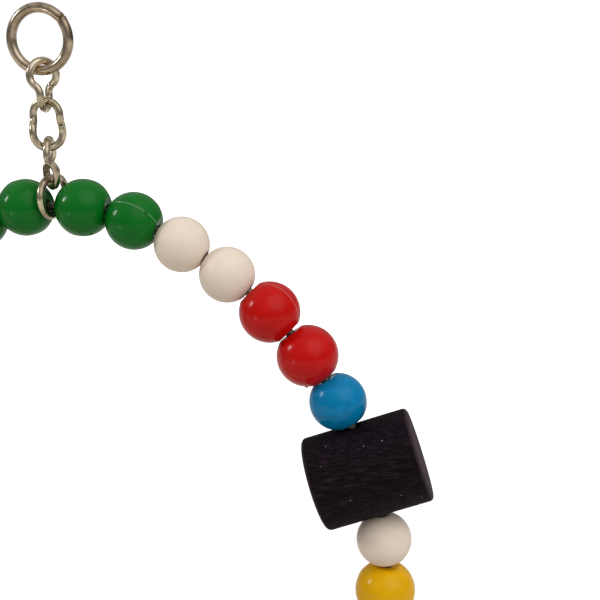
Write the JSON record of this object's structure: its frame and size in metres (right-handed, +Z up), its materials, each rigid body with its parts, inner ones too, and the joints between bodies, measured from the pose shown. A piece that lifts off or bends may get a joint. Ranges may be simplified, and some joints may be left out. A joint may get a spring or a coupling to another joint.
{
  "type": "bird swing",
  "caption": "Hanging bird swing: an arched wire strung with plastic beads and dark wooden blocks, a dowel perch across the foot, and a short twisted chain with a ring.",
  "frame": {"origin": "inside top of the hanging ring, where the hook bears, in the middle of the wire's thickness", "axes": "+X along the perch, +Y through the hoop from front to back, +Z up along the line of the chain"},
  "size_m": [0.2004, 0.0296, 0.2006],
  "materials": {
    "ring_steel": "nickel-plated steel wire, butted ring",
    "chain_steel": "nickel-plated steel wire, twisted links",
    "hoop_steel": "galvanised steel wire",
    "green_plastic": "moulded, glossy",
    "white_plastic": "moulded, satin",
    "red_plastic": "moulded, glossy",
    "blue_plastic": "moulded, glossy",
    "yellow_plastic": "moulded, glossy",
    "block_wood": "dowel dyed near black, fine open grain",
    "perch_wood": "plain sanded dowel"
  },
  "bodies": {
    "ring": {"hang_ring": "ring_steel"},
    "first_link": {"chain_link_1": "chain_steel"},
    "second_link": {"chain_link_2": "chain_steel"},
    "third_link": {"chain_link_3": "chain_steel"},
    "last_link": {"hoop_link": "chain_steel"},
    "hoop": {"hoop_wire": "hoop_steel", "perch": "perch_wood"},
    "right_01_green_bead": {"right_01_green_bead": "green_plastic"},
    "right_02_green_bead": {"right_02_green_bead": "green_plastic"},
    "right_03_white_bead": {"right_03_white_bead": "white_plastic"},
    "right_04_white_bead": {"right_04_white_bead": "white_plastic"},
    "right_05_red_bead": {"right_05_red_bead": "red_plastic"},
    "right_06_red_bead": {"right_06_red_bead": "red_plastic"},
    "right_07_blue_bead": {"right_07_blue_bead": "blue_plastic"},
    "right_08_wood_block": {"right_08_wood_block": "block_wood"},
    "right_09_white_bead": {"right_09_white_bead": "white_plastic"},
    "right_10_yellow_bead": {"right_10_yellow_bead": "yellow_plastic"},
    "right_11_green_bead": {"right_11_green_bead": "green_plastic"},
    "left_01_green_bead": {"left_01_green_bead": "green_plastic"},
    "left_02_green_bead": {"left_02_green_bead": "green_plastic"},
    "left_03_white_bead": {"left_03_white_bead": "white_plastic"},
    "left_04_white_bead": {"left_04_white_bead": "white_plastic"},
    "left_05_red_bead": {"left_05_red_bead": "red_plastic"},
    "left_06_red_bead": {"left_06_red_bead": "red_plastic"},
    "left_07_blue_bead": {"left_07_blue_bead": "blue_plastic"},
    "left_08_wood_block": {"left_08_wood_block": "block_wood"},
    "left_09_white_bead": {"left_09_white_bead": "white_plastic"},
    "left_10_yellow_bead": {"left_10_yellow_bead": "yellow_plastic"},
    "left_11_green_bead": {"left_11_green_bead": "green_plastic"}
  },
  "joints": [
    {"name": "ring_swing", "type": "hinge", "parent": "ring", "child": "first_link", "pos_m": [0, 0, -0.0145], "axis": [1, 0, 0], "range_deg": [-60, 60]},
    {"name": "first_link_swing", "type": "hinge", "parent": "first_link", "child": "second_link", "pos_m": [0, 0, -0.0243], "axis": [-0.225, 0.9744, 0], "range_deg": [-40, 40]},
    {"name": "second_link_swing", "type": "hinge", "parent": "second_link", "child": "third_link", "pos_m": [0, 0, -0.0344], "axis": [0.866, 0.5, 0], "range_deg": [-40, 40]},
    {"name": "third_link_swing", "type": "hinge", "parent": "third_link", "child": "last_link", "pos_m": [0, 0, -0.0445], "axis": [-0.7193, 0.6947, 0], "range_deg": [-15, 15]},
    {"name": "hoop_swing", "type": "hinge", "parent": "last_link", "child": "hoop", "pos_m": [0, 0, -0.0497], "axis": [1, 0, 0], "range_deg": [-70, 70]},
    {"name": "right_01_green_bead_spin", "type": "hinge", "parent": "hoop", "child": "right_01_green_bead", "pos_m": [0.00827, 0, -0.05018], "axis": [0.9945, 0, -0.1048], "continuous": true},
    {"name": "right_02_green_bead_spin", "type": "hinge", "parent": "hoop", "child": "right_02_green_bead", "pos_m": [0.02225, 0, -0.05365], "axis": [0.9328, 0, -0.3604], "continuous": true},
    {"name": "right_03_white_bead_spin", "type": "hinge", "parent": "hoop", "child": "right_03_white_bead", "pos_m": [0.03506, 0, -0.05977], "axis": [0.87, 0, -0.4931], "continuous": true},
    {"name": "right_04_white_bead_spin", "type": "hinge", "parent": "hoop", "child": "right_04_white_bead", "pos_m": [0.04694, 0, -0.06762], "axis": [0.7942, 0, -0.6076], "continuous": true},
    {"name": "right_05_red_bead_spin", "type": "hinge", "parent": "hoop", "child": "right_05_red_bead", "pos_m": [0.05795, 0, -0.07737], "axis": [0.7004, 0, -0.7137], "continuous": true},
    {"name": "right_06_red_bead_spin", "type": "hinge", "parent": "hoop", "child": "right_06_red_bead", "pos_m": [0.06766, 0, -0.08881], "axis": [0.5902, 0, -0.8073], "continuous": true},
    {"name": "right_07_blue_bead_spin", "type": "hinge", "parent": "hoop", "child": "right_07_blue_bead", "pos_m": [0.07535, 0, -0.10099], "axis": [0.4727, 0, -0.8812], "continuous": true},
    {"name": "right_08_wood_block_spin", "type": "hinge", "parent": "hoop", "child": "right_08_wood_block", "pos_m": [0.08273, 0, -0.11939], "axis": [0.2922, 0, -0.9563], "continuous": true},
    {"name": "right_09_white_bead_spin", "type": "hinge", "parent": "hoop", "child": "right_09_white_bead", "pos_m": [0.0868, 0, -0.13894], "axis": [0.0834, 0, -0.9965], "continuous": true},
    {"name": "right_10_yellow_bead_spin", "type": "hinge", "parent": "hoop", "child": "right_10_yellow_bead", "pos_m": [0.08685, 0, -0.15368], "axis": [-0.0742, 0, -0.9972], "continuous": true},
    {"name": "right_11_green_bead_spin", "type": "hinge", "parent": "hoop", "child": "right_11_green_bead", "pos_m": [0.08586, 0, -0.16794], "axis": [-0.0278, 0, -0.9996], "continuous": true},
    {"name": "left_01_green_bead_spin", "type": "hinge", "parent": "hoop", "child": "left_01_green_bead", "pos_m": [-0.00827, 0, -0.05018], "axis": [-0.9945, 0, -0.1048], "continuous": true},
    {"name": "left_02_green_bead_spin", "type": "hinge", "parent": "hoop", "child": "left_02_green_bead", "pos_m": [-0.02225, 0, -0.05365], "axis": [-0.9328, 0, -0.3604], "continuous": true},
    {"name": "left_03_white_bead_spin", "type": "hinge", "parent": "hoop", "child": "left_03_white_bead", "pos_m": [-0.03506, 0, -0.05977], "axis": [-0.87, 0, -0.4931], "continuous": true},
    {"name": "left_04_white_bead_spin", "type": "hinge", "parent": "hoop", "child": "left_04_white_bead", "pos_m": [-0.04694, 0, -0.06762], "axis": [-0.7942, 0, -0.6076], "continuous": true},
    {"name": "left_05_red_bead_spin", "type": "hinge", "parent": "hoop", "child": "left_05_red_bead", "pos_m": [-0.05795, 0, -0.07737], "axis": [-0.7004, 0, -0.7137], "continuous": true},
    {"name": "left_06_red_bead_spin", "type": "hinge", "parent": "hoop", "child": "left_06_red_bead", "pos_m": [-0.06766, 0, -0.08881], "axis": [-0.5902, 0, -0.8073], "continuous": true},
    {"name": "left_07_blue_bead_spin", "type": "hinge", "parent": "hoop", "child": "left_07_blue_bead", "pos_m": [-0.07535, 0, -0.10099], "axis": [-0.4727, 0, -0.8812], "continuous": true},
    {"name": "left_08_wood_block_spin", "type": "hinge", "parent": "hoop", "child": "left_08_wood_block", "pos_m": [-0.08273, 0, -0.11939], "axis": [-0.2922, 0, -0.9563], "continuous": true},
    {"name": "left_09_white_bead_spin", "type": "hinge", "parent": "hoop", "child": "left_09_white_bead", "pos_m": [-0.0868, 0, -0.13894], "axis": [-0.0834, 0, -0.9965], "continuous": true},
    {"name": "left_10_yellow_bead_spin", "type": "hinge", "parent": "hoop", "child": "left_10_yellow_bead", "pos_m": [-0.08685, 0, -0.15368], "axis": [0.0742, 0, -0.9972], "continuous": true},
    {"name": "left_11_green_bead_spin", "type": "hinge", "parent": "hoop", "child": "left_11_green_bead", "pos_m": [-0.08586, 0, -0.16794], "axis": [0.0278, 0, -0.9996], "continuous": true}
  ]
}
